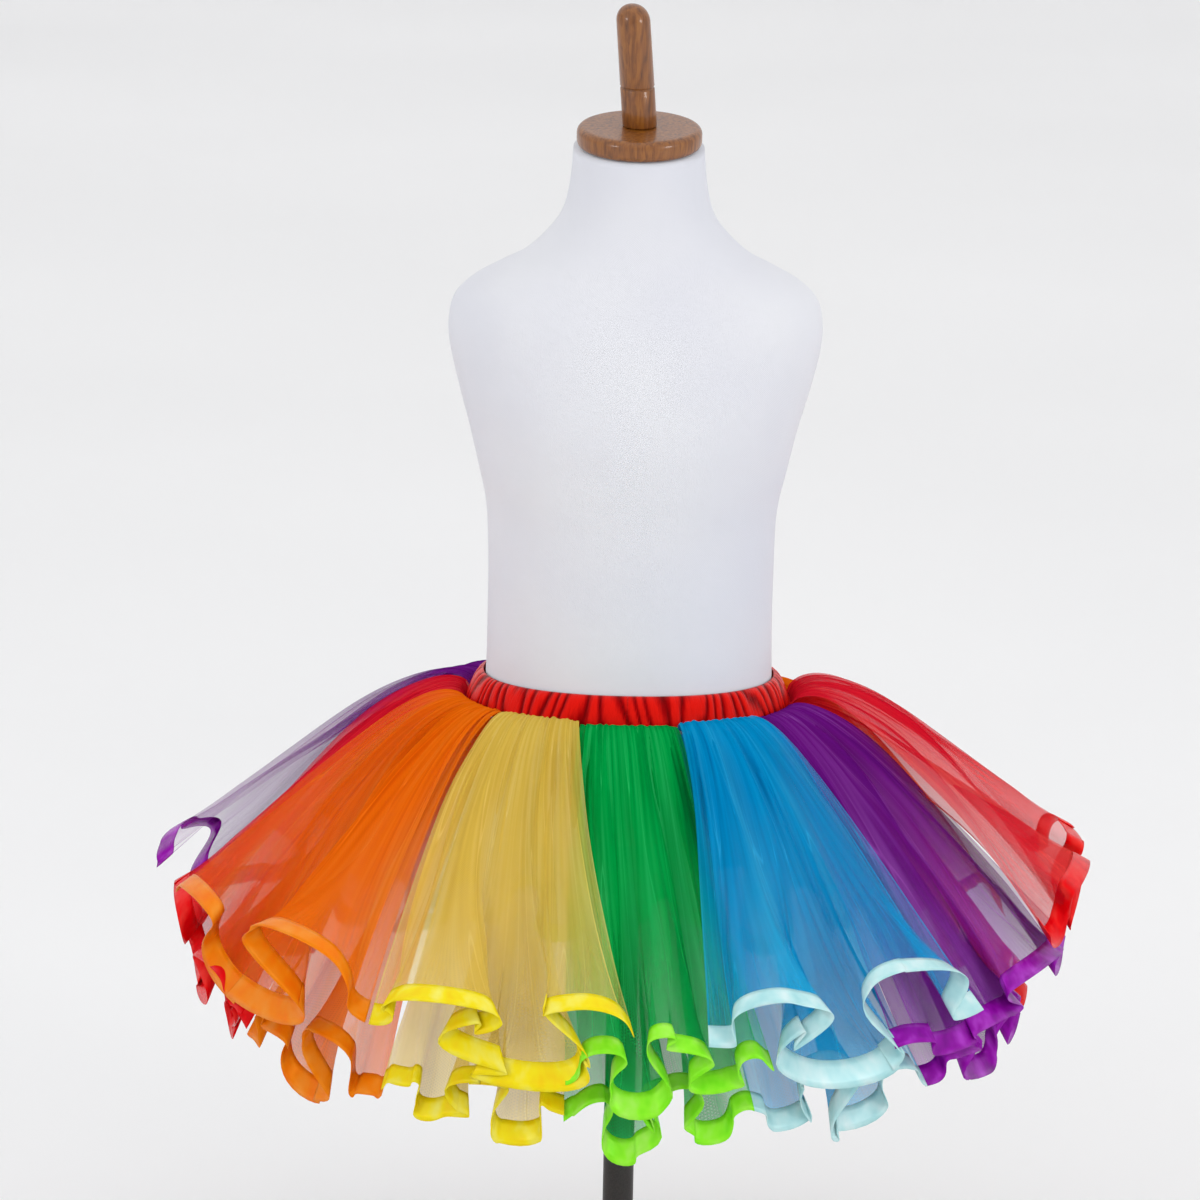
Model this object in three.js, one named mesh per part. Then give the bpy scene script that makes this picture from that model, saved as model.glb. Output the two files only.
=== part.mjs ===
// A child's tulle tutu skirt, worn by a limbless dress form on a round stand.
//
// Millimetres, +Z up. The origin is the centre of the base's underside, on the pole's axis.
// The front faces -Y. Angles round the body are in degrees from the front, growing towards +X.
import * as THREE from "three";

// ---------------------------------------------------------------- driving dimensions

const GAP = 0.3; // between pieces that touch
const WAIST_UP = 520; // the height of the waist

// Stand
const BASE_RADIUS = 140;
const BASE_THICKNESS = 8;
const BASE_ROUND = 3; // the rounding of the base's upper edge
const POLE_RADIUS = 11.25;

// Dress form
const OVAL_POWER = 2.2; // 2 is an ellipse, more is squarer
const TORSO_SIDES = 24;
const NECK_TILT = 8; // the neck's top plane leans forwards, degrees
const CAP_RADIUS = 44.4;
const CAP_THICKNESS = 15;
const CAP_ROUND = 5;
const PEG_RADIUS = 12.2;
const PEG_LENGTH = 88;
const PEG_LEAN = 4.5; // to the left, degrees

// Waistband
const BAND_WALL = 2.2;
const BAND_GATHERS = 60;
const BAND_RIPPLE = 0.8; // how far a gather's ridge stands over its valley
const BAND_TOP = { up: 8.5, halfWidth: 104.6, halfDepth: 78.1 }; // inside
const BAND_BOTTOM = { up: -12.5, halfWidth: 113.6, halfDepth: 87.0 }; // inside, flared

// Skirt
const SEAM = { halfWidth: 112, halfDepth: 85 }; // the oval that the panels are gathered on to
const TULLE_WALL = 1.2;
const RIBBON_WALL = 1.0;
const RIBBON_WIDTH = 13;
const FOLD_GROWTH = 3; // how late the folds open on their way to the hem
const FOLD_LEAN = 0.25; // how far a fold moves outwards for each millimetre that it rises
const EDGE_SWING = 7; // a fold's height at a panel's sides
const UNEVEN = 0.35; // how much one fold's depth differs from the next
const PUFF_POWER = 0.6; // how early the puff below the waist peaks
const OUTER_COLUMNS = 22;
const OUTER_ROWS = [0, 0.3, 0.72]; // along the fall line, above the ribbon's two rows
const INNER_COLUMNS = 20;
const INNER_ROWS = [0, 0.48, 0.78];

// Each level's fall line: where it leaves the waist, how far it reaches out, how far it
// drops, and how much the stiff tulle puffs up before it falls.
const TOP = { startOut: 6.4, startUp: -13.4, reach: 212, drop: 130, lift: 37 };
const BACK = { startOut: 6.4, startUp: -13.4, reach: 222, drop: 134, lift: 32 };
const MIDDLE = { startOut: 6.4, startUp: -13.4, reach: 204, drop: 164, lift: 32 };
const LOW = { startOut: 6.4, startUp: -13.4, reach: 196, drop: 192, lift: 27 };
const INNER = { startOut: 4.0, startUp: -17.0, reach: 176, drop: 230, lift: 20 };

// One row for each outer panel, round the body from the front. It is gathered round one
// angle at the waist and hangs round another at the hem, where it covers the span. It may
// slope from one level on its left to another on its right. The swing is a fold's height to
// each side, the curl is how far its crest leans over its neighbours as a share of one
// fold, and the turn shifts the first fold. The skew crowds the folds to the left.
const OUTER_PANELS = [
  { colour: "green", waist: 0, hem: 7, span: 31, left: LOW, right: LOW,
    folds: 2.6, swing: 22, curl: 0.18, turn: 0.82, skew: 0 },
  { colour: "blue", waist: 30, hem: 34, span: 43, left: MIDDLE, right: MIDDLE,
    folds: 1.92, swing: 36, curl: 0.21, turn: 0.81, skew: 0.1 },
  { colour: "purple", waist: 60, hem: 64, span: 46, left: LOW, right: MIDDLE,
    folds: 1.6, swing: 15, curl: 0.1, turn: 0.3, skew: -0.2 },
  { colour: "red", waist: 90, hem: 90, span: 43, left: TOP, right: TOP,
    folds: 2.1, swing: 38, curl: 0.18, turn: 0.62, skew: 0.2 },
  { colour: "orange", waist: 120, hem: 128, span: 33, left: LOW, right: LOW,
    folds: 2.2, swing: 15, curl: 0.12, turn: 0, skew: -0.2 },
  { colour: "yellow", waist: 150, hem: 155, span: 36, left: MIDDLE, right: MIDDLE,
    folds: 1.9, swing: 27, curl: 0.18, turn: 0.3, skew: 0.2 },
  { colour: "green", waist: 180, hem: 181, span: 38, left: LOW, right: LOW,
    folds: 2.3, swing: 24, curl: 0.16, turn: 0.6, skew: 0 },
  { colour: "blue", waist: 210, hem: 209, span: 38, left: MIDDLE, right: LOW,
    folds: 2, swing: 30, curl: 0.16, turn: 0.1, skew: -0.2 },
  { colour: "purple", waist: 240, hem: 249, span: 42, left: MIDDLE, right: BACK,
    folds: 1.3, swing: 36, curl: 0.18, turn: 0.21, skew: 0 },
  { colour: "red", waist: 270, hem: 277, span: 42, left: MIDDLE, right: LOW,
    folds: 2.3, swing: 24, curl: 0.16, turn: 0.3, skew: 0.2 },
  { colour: "orange", waist: 300, hem: 303, span: 38, left: TOP, right: MIDDLE,
    folds: 1.5, swing: 37, curl: 0.2, turn: 0.1, skew: 0 },
  { colour: "yellow", waist: 330, hem: 342, span: 39, left: MIDDLE, right: MIDDLE,
    folds: 1.56, swing: 38, curl: 0.22, turn: 0.84, skew: 0.1 },
];
const SEAM_SPAN = 29.2; // the share of the waist that each panel is gathered into

// The inner panels hang side by side, just parted, each from behind its outer panel.
const INNER_SPAN = 29;
const INNER_TURN = 6; // how far the inner hems lie round from the waist
const INNER_FOLDS = { folds: 2.2, swing: 24, curl: 0.15, skew: 0 };
const INNER_STEP = 0.37; // the turn from one inner panel's folds to the next one's
const SIDE_RISE = 18; // how much higher the inner hems end at the sides than at the front

const TULLE_COLOURS = {
  green: 0x0a9a44,
  blue: 0x1397cf,
  purple: 0x7a2c8e,
  red: 0xd01c3c,
  orange: 0xee7420,
  yellow: 0xe6c23c,
};
const RIBBON_COLOURS = {
  green: 0x8cf02c,
  blue: 0xb4e2e6,
  purple: 0x8a0a9a,
  red: 0xe60a18,
  orange: 0xff7200,
  yellow: 0xf8d400,
};

// The form's outline, a row for each section. "up" is from the middle of the waistband.
const TORSO = [
  { up: -112, halfWidth: 46, halfDepth: 34, tilt: 0 },
  { up: -106, halfWidth: 82, halfDepth: 62, tilt: 0 },
  { up: -92, halfWidth: 103, halfDepth: 80, tilt: 0 },
  { up: -62, halfWidth: 112, halfDepth: 86, tilt: 0 },
  { up: -22, halfWidth: 105, halfDepth: 79, tilt: 0 },
  { up: 13, halfWidth: 103, halfDepth: 76.5, tilt: 0 },
  { up: 60, halfWidth: 102.4, halfDepth: 76, tilt: 0 },
  { up: 111, halfWidth: 103, halfDepth: 77, tilt: 0 },
  { up: 135, halfWidth: 105, halfDepth: 79, tilt: 0 },
  { up: 158, halfWidth: 110, halfDepth: 82, tilt: 0 },
  { up: 188, halfWidth: 117, halfDepth: 85, tilt: 0 },
  { up: 217, halfWidth: 125, halfDepth: 84, tilt: 0 },
  { up: 247, halfWidth: 132, halfDepth: 80, tilt: 0 },
  { up: 266, halfWidth: 133, halfDepth: 76, tilt: 0 },
  { up: 282, halfWidth: 129, halfDepth: 70, tilt: 1 },
  { up: 294, halfWidth: 117, halfDepth: 64, tilt: 2 },
  { up: 304, halfWidth: 99, halfDepth: 58, tilt: 3 },
  { up: 313, halfWidth: 81, halfDepth: 54, tilt: 4 },
  { up: 328, halfWidth: 64, halfDepth: 50, tilt: 5 },
  { up: 343, halfWidth: 53.6, halfDepth: 47, tilt: 6 },
  { up: 364, halfWidth: 48.6, halfDepth: 45.5, tilt: NECK_TILT },
  { up: 389, halfWidth: 46.4, halfDepth: 44.4, tilt: NECK_TILT },
];

// The peg's turned outline: its radius at each height above the cap.
const PEG_OUTLINE = [
  { above: 0, radius: PEG_RADIUS - 0.9 },
  { above: 1.2, radius: PEG_RADIUS },
  { above: 27.5, radius: PEG_RADIUS },
  { above: 28.6, radius: PEG_RADIUS - 1.4 },
  { above: 29.7, radius: PEG_RADIUS },
  { above: PEG_LENGTH - 12, radius: PEG_RADIUS - 0.3 },
  { above: PEG_LENGTH - 5, radius: PEG_RADIUS - 2.6 },
  { above: PEG_LENGTH - 1.2, radius: PEG_RADIUS - 6.4 },
  { above: PEG_LENGTH, radius: 2.4 },
];

// ---------------------------------------------------------------- shape helpers

const radians = THREE.MathUtils.degToRad;

function material(colour, roughness, metalness = 0) {
  return new THREE.MeshStandardMaterial({ color: colour, roughness, metalness });
}

function mesh(name, geometry, look) {
  const made = new THREE.Mesh(geometry, look);
  made.name = name;
  return made;
}

/** A geometry from its points and the triangles between them. */
function solid(points, faces) {
  const geometry = new THREE.BufferGeometry().setFromPoints(points);
  geometry.setIndex(faces.flat());
  geometry.computeVertexNormals();
  return geometry;
}

/** The point of an oval at an angle from the front, with its outward direction. */
function oval(angle, halfWidth, halfDepth) {
  const turn = radians(angle);
  const power = 2 / OVAL_POWER;
  const side = Math.sign(Math.sin(turn)) * Math.abs(Math.sin(turn)) ** power;
  const front = -Math.sign(Math.cos(turn)) * Math.abs(Math.cos(turn)) ** power;
  const slope = (share) => Math.sign(share) * Math.abs(share) ** (OVAL_POWER - 1);
  const point = new THREE.Vector3(halfWidth * side, halfDepth * front, 0);
  const outward = new THREE.Vector3(slope(side) / halfWidth, slope(front) / halfDepth, 0);
  return { point, outward: outward.normalize() };
}

/** A body through rings that run anticlockwise and upwards, closed at both ends. */
function loft(rings) {
  const sides = rings[0].length;
  const points = rings.flat();
  const faces = [];
  for (let ring = 0; ring + 1 < rings.length; ring++) {
    for (let side = 0; side < sides; side++) {
      const a = ring * sides + side;
      const b = ring * sides + ((side + 1) % sides);
      faces.push([a, b, b + sides], [a, b + sides, a + sides]);
    }
  }
  const middle = (ring) =>
    ring.reduce((sum, point) => sum.add(point), new THREE.Vector3()).divideScalar(sides);
  const bottom = points.push(middle(rings[0])) - 1;
  const top = points.push(middle(rings.at(-1))) - 1;
  const lastRing = (rings.length - 1) * sides;
  for (let side = 0; side < sides; side++) {
    const next = (side + 1) % sides;
    faces.push([bottom, next, side], [top, lastRing + side, lastRing + next]);
  }
  return solid(points, faces);
}

/** A cloth wall between two grids of points, its rows running down and its columns round. */
function wall(outer, inner) {
  const rows = outer.length;
  const columns = outer[0].length;
  const points = [...outer.flat(), ...inner.flat()];
  const faces = [];
  const front = (row, column) => row * columns + column;
  const back = (row, column) => rows * columns + front(row, column);
  const quad = (a, b, c, d) => faces.push([a, b, c], [a, c, d]);
  for (let row = 0; row + 1 < rows; row++) {
    for (let column = 0; column + 1 < columns; column++) {
      quad(front(row, column), front(row + 1, column), front(row + 1, column + 1), front(row, column + 1));
      quad(back(row, column), back(row, column + 1), back(row + 1, column + 1), back(row + 1, column));
    }
    const end = columns - 1;
    quad(front(row + 1, 0), front(row, 0), back(row, 0), back(row + 1, 0));
    quad(front(row, end), front(row + 1, end), back(row + 1, end), back(row, end));
  }
  for (let column = 0; column + 1 < columns; column++) {
    const end = rows - 1;
    quad(front(0, column), front(0, column + 1), back(0, column + 1), back(0, column));
    quad(front(end, column + 1), front(end, column), back(end, column), back(end, column + 1));
  }
  return solid(points, faces);
}

/** Each grid point's outward direction, from its neighbours. */
function outwards(grid) {
  const near = (list, index, step) => list[THREE.MathUtils.clamp(index + step, 0, list.length - 1)];
  return grid.map((line, row) =>
    line.map((_, column) => {
      const down = near(grid, row, 1)[column].clone().sub(near(grid, row, -1)[column]);
      const round = near(line, column, 1).clone().sub(near(line, column, -1));
      return down.cross(round).normalize();
    }),
  );
}

/** A grid moved along its outward directions. */
function moved(grid, directions, distance) {
  return grid.map((line, row) =>
    line.map((point, column) => point.clone().addScaledVector(directions[row][column], distance)),
  );
}

// ---------------------------------------------------------------- stand and form

function makeBase() {
  const profile = [new THREE.Vector2(0, 0), new THREE.Vector2(BASE_RADIUS, 0)];
  for (const turn of [0, 30, 60, 90]) {
    const out = BASE_RADIUS - BASE_ROUND + BASE_ROUND * Math.cos(radians(turn));
    const up = BASE_THICKNESS - BASE_ROUND + BASE_ROUND * Math.sin(radians(turn));
    profile.push(new THREE.Vector2(out, up));
  }
  profile.push(new THREE.Vector2(0, BASE_THICKNESS));
  const plate = new THREE.LatheGeometry(profile, 40).rotateX(radians(90));
  return mesh("base_plate", plate, material(0x3a3634, 0.45, 0.7));
}

function makePole() {
  const bottom = BASE_THICKNESS + GAP;
  const top = WAIST_UP + TORSO[0].up - GAP;
  const tube = new THREE.CylinderGeometry(POLE_RADIUS, POLE_RADIUS, top - bottom, 24);
  tube.rotateX(radians(90));
  const pole = mesh("pole", tube, material(0x3a3634, 0.4, 0.7));
  pole.position.z = (bottom + top) / 2;
  return pole;
}

function makeTorso() {
  const rings = TORSO.map((section) => {
    const ring = [];
    for (let side = 0; side < TORSO_SIDES; side++) {
      const { point } = oval((360 * side) / TORSO_SIDES, section.halfWidth, section.halfDepth);
      point.z = WAIST_UP + section.up + point.y * Math.tan(radians(section.tilt));
      ring.push(point);
    }
    return ring;
  });
  return mesh("torso", loft(rings), material(0xdadae0, 0.9));
}

/** The wooden cap and its peg, in a group that leans with the top of the neck. */
function makeNeckTop() {
  const wood = material(0x8e5a22, 0.3);
  const profile = [new THREE.Vector2(0, 0)];
  for (const turn of [-90, -45, 0, 45, 90]) {
    const middle = turn < 0 ? CAP_ROUND : CAP_THICKNESS - CAP_ROUND;
    const out = CAP_RADIUS - CAP_ROUND + CAP_ROUND * Math.cos(radians(turn));
    profile.push(new THREE.Vector2(out, middle + CAP_ROUND * Math.sin(radians(turn))));
  }
  profile.push(new THREE.Vector2(0, CAP_THICKNESS));
  const cap = mesh("neck_cap", new THREE.LatheGeometry(profile, 32).rotateX(radians(90)), wood);

  const rings = PEG_OUTLINE.map(({ above, radius }) => {
    const ring = [];
    for (let side = 0; side < 16; side++) {
      const turn = (2 * Math.PI * side) / 16;
      const shift = -above * Math.tan(radians(PEG_LEAN));
      ring.push(new THREE.Vector3(shift + radius * Math.cos(turn), radius * Math.sin(turn), above));
    }
    return ring;
  });
  const peg = mesh("handle_peg", loft(rings), wood);
  peg.position.z = CAP_THICKNESS + GAP;

  const top = new THREE.Group();
  top.add(cap, peg);
  top.rotation.x = radians(NECK_TILT);
  top.position.z = WAIST_UP + TORSO.at(-1).up + 2 * GAP;
  return top;
}

// ---------------------------------------------------------------- skirt

/** The gathered band: a ring of four corners, its outer ones raised on every other side. */
function makeWaistband() {
  const sides = 2 * BAND_GATHERS;
  const corners = [
    { size: BAND_TOP, out: 0, ripple: 0 },
    { size: BAND_BOTTOM, out: 0, ripple: 0 },
    { size: BAND_BOTTOM, out: BAND_WALL, ripple: BAND_RIPPLE },
    { size: BAND_TOP, out: BAND_WALL, ripple: BAND_RIPPLE },
  ];
  const points = [];
  const faces = [];
  for (let side = 0; side < sides; side++) {
    const depth = side % 2 ? 0.6 + 0.4 * Math.sin(2.3 * side) : 0;
    for (const corner of corners) {
      const { point, outward } = oval((360 * side) / sides, corner.size.halfWidth, corner.size.halfDepth);
      point.addScaledVector(outward, corner.out - corner.ripple * depth);
      point.z = WAIST_UP + corner.size.up;
      points.push(point);
    }
    for (let corner = 0; corner < 4; corner++) {
      const a = 4 * side + corner;
      const b = 4 * side + ((corner + 1) % 4);
      const turn = (index) => (index + 4) % (4 * sides);
      faces.push([a, turn(b), b], [a, turn(a), turn(b)]);
    }
  }
  return mesh("waistband", solid(points, faces), material(0xd01010, 0.35));
}

/** The fall line of a panel's level at a share of the way across it. */
function levelAt(panel, across) {
  const between = (name) => THREE.MathUtils.lerp(panel.left[name], panel.right[name], across);
  return Object.fromEntries(Object.keys(panel.left).map((name) => [name, between(name)]));
}

/** A point of a skirt panel: across it from 0 to 1, and along its fall line from 0 to 1. */
function skirtPoint(panel, across, along) {
  const level = levelAt(panel, across);
  const growth = along ** FOLD_GROWTH;
  const place = across + panel.skew * across * (1 - across);
  const phase = 2 * Math.PI * (panel.folds * place + panel.turn);
  const inside = Math.sin(Math.PI * across); // none at the panel's sides
  const overhang = ((panel.curl * growth * inside) / panel.folds) * Math.sin(2 * phase);
  const span = THREE.MathUtils.lerp(SEAM_SPAN, panel.span, along);
  const centre = THREE.MathUtils.lerp(panel.waist, panel.hem, along);
  const { point, outward } = oval(
    centre + span * (across - 0.5 - overhang),
    SEAM.halfWidth,
    SEAM.halfDepth,
  );

  const uneven = 1 + UNEVEN * Math.sin(panel.waist + 5 * across);
  const height = THREE.MathUtils.lerp(EDGE_SWING, panel.swing * uneven, inside);
  const swing = height * growth * Math.sin(phase);
  const puff = level.lift * Math.sin(Math.PI * along ** PUFF_POWER);
  point.addScaledVector(outward, level.startOut + level.reach * along + swing * FOLD_LEAN);
  point.z = WAIST_UP + level.startUp + puff - level.drop * along + swing;
  return point;
}

/** One tulle panel and the ribbon on its hem, made from the panel's own last two rows. */
function makePanel(panel, number, layer, upperRows, columns) {
  const name = `${number}_${panel.colour}`;
  const { reach, drop } = levelAt(panel, 0.5);
  const ribbonTop = 1 - RIBBON_WIDTH / Math.hypot(reach, drop);
  const grid = [...upperRows, ribbonTop, 1].map((along) =>
    Array.from({ length: columns + 1 }, (_, column) => skirtPoint(panel, column / columns, along)),
  );
  const directions = outwards(grid);
  const outer = moved(grid, directions, TULLE_WALL / 2);
  const inner = moved(grid, directions, -TULLE_WALL / 2);
  const tulle = material(TULLE_COLOURS[panel.colour], 0.8);

  const hem = outer.slice(-2);
  const hemDirections = directions.slice(-2);
  const ribbon = wall(
    moved(hem, hemDirections, GAP + RIBBON_WALL),
    moved(hem, hemDirections, GAP),
  );
  return [
    mesh(`${layer}_tulle_${name}`, wall(outer, inner), tulle),
    mesh(`${layer}_ribbon_${name}`, ribbon, material(RIBBON_COLOURS[panel.colour], 0.35)),
  ];
}

/** The inner level at an angle round the body: it drops less at the sides. */
function innerLevelAt(angle) {
  return { ...INNER, drop: INNER.drop - SIDE_RISE * Math.sin(radians(angle)) ** 2 };
}

function makeSkirt() {
  const skirt = new THREE.Group();
  OUTER_PANELS.forEach((panel, index) => {
    const number = String(index + 1).padStart(2, "0");
    const hem = panel.waist + INNER_TURN;
    const behind = {
      ...panel,
      ...INNER_FOLDS,
      hem,
      span: INNER_SPAN,
      turn: INNER_STEP * index,
      left: innerLevelAt(hem - INNER_SPAN / 2),
      right: innerLevelAt(hem + INNER_SPAN / 2),
    };
    skirt.add(...makePanel(panel, number, "outer", OUTER_ROWS, OUTER_COLUMNS));
    skirt.add(...makePanel(behind, number, "inner", INNER_ROWS, INNER_COLUMNS));
  });
  return skirt;
}

const part = new THREE.Group();
part.add(makeBase(), makePole(), makeTorso(), makeNeckTop(), makeWaistband(), makeSkirt());

export default part;
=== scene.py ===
"""A child's rainbow tulle tutu on a limbless dress form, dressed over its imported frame.

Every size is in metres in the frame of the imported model: +Z up, the front towards -Y, the stand on
the floor at Z 0. Angles of the skirt run in degrees from the front (-Y) towards +X.
"""

import logging
import math
from dataclasses import dataclass, field, replace
from enum import Enum
from typing import Any, Optional, Sequence

import bpy
import numpy as np
from mathutils import Matrix, Vector


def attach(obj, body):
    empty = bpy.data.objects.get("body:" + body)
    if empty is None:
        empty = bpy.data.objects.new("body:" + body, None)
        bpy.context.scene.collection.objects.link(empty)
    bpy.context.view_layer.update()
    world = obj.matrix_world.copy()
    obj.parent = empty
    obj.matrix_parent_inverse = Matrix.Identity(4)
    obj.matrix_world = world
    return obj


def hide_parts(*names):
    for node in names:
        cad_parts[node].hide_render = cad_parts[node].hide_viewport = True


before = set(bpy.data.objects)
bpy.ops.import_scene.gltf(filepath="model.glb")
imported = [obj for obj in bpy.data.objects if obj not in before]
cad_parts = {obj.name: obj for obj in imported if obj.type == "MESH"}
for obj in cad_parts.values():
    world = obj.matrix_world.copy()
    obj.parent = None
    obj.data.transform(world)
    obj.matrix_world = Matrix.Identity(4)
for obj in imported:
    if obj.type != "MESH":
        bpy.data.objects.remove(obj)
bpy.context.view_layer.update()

LOG = logging.getLogger("tutu")
MM = 0.001
WAIST_UP = 520 * MM  # the waist above the floor
OVAL_POWER = 2.2  # how square the oval of the body is, where 2 is an ellipse
SEAM = (112 * MM, 85 * MM)  # half the width and depth of the oval that the panels hang from


# ---------------------------------------------------------------------------------- small tools


def linear(hex_colour: str) -> tuple[float, float, float, float]:
    """Turns a colour into the renderer's linear numbers.

    Args:
        hex_colour: an sRGB colour such as "#D01010".

    Returns:
        Red, green, blue and a full alpha, all linear.
    """
    parts = [int(hex_colour[i : i + 2], 16) / 255 for i in (1, 3, 5)]
    made = [c / 12.92 if c <= 0.04045 else ((c + 0.055) / 1.055) ** 2.4 for c in parts]
    return (made[0], made[1], made[2], 1.0)


def add_node(
    tree: bpy.types.NodeTree,
    kind: str,
    settings: Optional[dict[str, Any]] = None,
    inputs: Optional[dict[Any, Any]] = None,
    ramp: Sequence[tuple[float, str]] = (),
    output: Any = 0,
) -> bpy.types.NodeSocket:
    """Adds one node with its settings and links.

    Args:
        tree: the material's node tree.
        kind: the node's type name without its leading "ShaderNode".
        settings: the node's own properties.
        inputs: for each socket's name or index, a value or the output that feeds it.
        ramp: the stops of a colour ramp, each a place from 0 to 1 and a colour.
        output: the name or index of the output that is wanted.

    Returns:
        That output.
    """
    made = tree.nodes.new("ShaderNode" + kind)
    for name, value in (settings or {}).items():
        setattr(made, name, value)
    for key, value in (inputs or {}).items():
        if isinstance(value, bpy.types.NodeSocket):
            tree.links.new(value, made.inputs[key])
        else:
            made.inputs[key].default_value = value
    for i, (place, colour) in enumerate(ramp):
        stops = made.color_ramp.elements
        stop = stops[i] if i < 2 else stops.new(place)
        stop.position = place
        stop.color = linear(colour)
    return made.outputs[output]


def new_material(name: str) -> tuple[bpy.types.Material, bpy.types.NodeTree, bpy.types.NodeSocket]:
    """Makes an empty node material.

    Args:
        name: the real material's name.

    Returns:
        The material, its tree and the socket that its surface goes into.
    """
    made = bpy.data.materials.new(name)
    made.use_nodes = True
    made.node_tree.nodes.clear()
    out = made.node_tree.nodes.new("ShaderNodeOutputMaterial")
    return made, made.node_tree, out.inputs["Surface"]


def grid_faces(
    rows: int, columns: int, round_rows: bool = False, round_columns: bool = False
) -> list[tuple[int, ...]]:
    """Lists the faces of a grid of points.

    Args:
        rows: how many rows of points there are.
        columns: how many points each row has.
        round_rows: whether each row is a closed ring.
        round_columns: whether each column is a closed ring, so that the last row meets the first.

    Returns:
        One tuple of four point numbers for each face.
    """
    made = []
    for r in range(rows if round_columns else rows - 1):
        here, below = r * columns, (r + 1) % rows * columns
        for c in range(columns if round_rows else columns - 1):
            beside = (c + 1) % columns
            made.append((here + c, here + beside, below + beside, below + c))
    return made


def ring_faces(rows: int, columns: int) -> list[tuple[int, ...]]:
    """Lists the faces of a stack of rings whose two ends are closed.

    Args:
        rows: how many rings there are.
        columns: how many points each ring has.

    Returns:
        The faces between the rings, then the bottom and the top.
    """
    last = (rows - 1) * columns
    ends = [tuple(range(columns - 1, -1, -1)), tuple(range(last, last + columns))]
    return grid_faces(rows, columns, True) + ends


def lathe(
    outline: Sequence[tuple[float, float]], columns: int = 96
) -> tuple[np.ndarray, list[tuple[int, ...]]]:
    """Turns an outline round the upright axis.

    Args:
        outline: heights and radii, from the bottom up.
        columns: how many points each ring has.

    Returns:
        The rings of points, and the faces with a closed bottom and top.
    """
    angle = np.linspace(0, 2 * math.pi, columns, endpoint=False)
    rings = [
        np.stack([r * np.sin(angle), -r * np.cos(angle), np.full_like(angle, z)], -1)
        for z, r in outline
    ]
    return np.array(rings), ring_faces(len(outline), columns)


def new_object(name: str, data: Any) -> bpy.types.Object:
    """Puts an object into the scene.

    Args:
        name: its name.
        data: its mesh, lamp or camera.

    Returns:
        The object.
    """
    made = bpy.data.objects.new(name, data)
    bpy.context.scene.collection.objects.link(made)
    return made


def make_piece(
    name: str,
    points: np.ndarray,
    faces: Sequence[Sequence[int]],
    finish: bpy.types.Material,
    nodes: Sequence[str] = (),
    cloth: Optional[np.ndarray] = None,
    marks: Optional[dict[str, np.ndarray]] = None,
) -> bpy.types.Object:
    """Makes one piece of the object and ties it to the frame.

    Args:
        name: the piece's name.
        points: its points, one row each, in metres.
        faces: its faces as point numbers.
        finish: its material.
        nodes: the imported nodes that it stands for.
        cloth: for each point its place on the flat cloth, in metres.
        marks: for each named number, its value at every point.

    Returns:
        The object.
    """
    mesh = bpy.data.meshes.new(name)
    mesh.from_pydata(points.reshape(-1, 3).tolist(), [], [tuple(f) for f in faces])
    mesh.polygons.foreach_set("use_smooth", [True] * len(mesh.polygons))
    if cloth is not None:
        corner = np.empty(len(mesh.loops), np.int32)
        mesh.loops.foreach_get("vertex_index", corner)
        layer = mesh.uv_layers.new(name="cloth")
        layer.data.foreach_set("uv", cloth.reshape(-1, 2)[corner].astype(np.float32).ravel())
    for mark, values in (marks or {}).items():
        mesh.attributes.new(mark, "FLOAT", "POINT").data.foreach_set(
            "value", values.astype(np.float32).ravel()
        )
    mesh.validate()
    mesh.update()
    made = new_object(name, mesh)
    mesh.materials.append(finish)
    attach(made, "root")
    if nodes:
        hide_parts(*nodes)
    LOG.info("%s: %d points, %d faces", name, len(mesh.vertices), len(mesh.polygons))
    return made


def smooth_rows(rows: np.ndarray, steps: int) -> np.ndarray:
    """Runs a smooth curve through the rows of a table.

    Args:
        rows: the table, one row of numbers for each section.
        steps: how many rows stand for each gap of the table.

    Returns:
        The finer table, which still passes through every row.
    """
    before = np.vstack([2 * rows[0] - rows[1], rows[:-1]])
    after = np.vstack([rows[1:], 2 * rows[-1] - rows[-2]])
    lean = (after - before) / 2
    made = []
    for a, b, m, n in zip(rows[:-1], rows[1:], lean[:-1], lean[1:]):
        for i in range(steps):
            t = i / steps
            made.append(
                (2 * t**3 - 3 * t**2 + 1) * a + (t**3 - 2 * t**2 + t) * m
                + (3 * t**2 - 2 * t**3) * b + (t**3 - t**2) * n
            )
    made.append(rows[-1])
    return np.array(made)


def oval(angle: np.ndarray, half_width: Any, half_depth: Any) -> tuple[np.ndarray, np.ndarray]:
    """Finds points of the body's oval and the way out from it.

    Args:
        angle: degrees from the front.
        half_width: half the oval's width.
        half_depth: half its depth.

    Returns:
        The points at height 0, and the unit vectors that face out of the oval there.
    """
    turn = np.radians(angle)
    power = 2 / OVAL_POWER
    side = np.sign(np.sin(turn)) * np.abs(np.sin(turn)) ** power
    front = -np.sign(np.cos(turn)) * np.abs(np.cos(turn)) ** power
    nothing = np.zeros_like(turn)
    slope = OVAL_POWER - 1
    out = np.stack(
        [
            np.sign(side) * np.abs(side) ** slope / half_width,
            np.sign(front) * np.abs(front) ** slope / half_depth, nothing,
        ],
        -1,
    )
    out /= np.linalg.norm(out, axis=-1, keepdims=True)
    return np.stack([half_width * side, half_depth * front, nothing], -1), out


def normals_of(points: np.ndarray) -> np.ndarray:
    """Finds the way out of a sheet at each point of its grid.

    Args:
        points: rows by columns by 3.

    Returns:
        Unit vectors of the same shape.
    """
    down = np.gradient(points, axis=0)
    along = np.gradient(points, axis=1)
    made = np.cross(along, down)
    return made / np.maximum(np.linalg.norm(made, axis=-1, keepdims=True), 1e-12)


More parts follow.
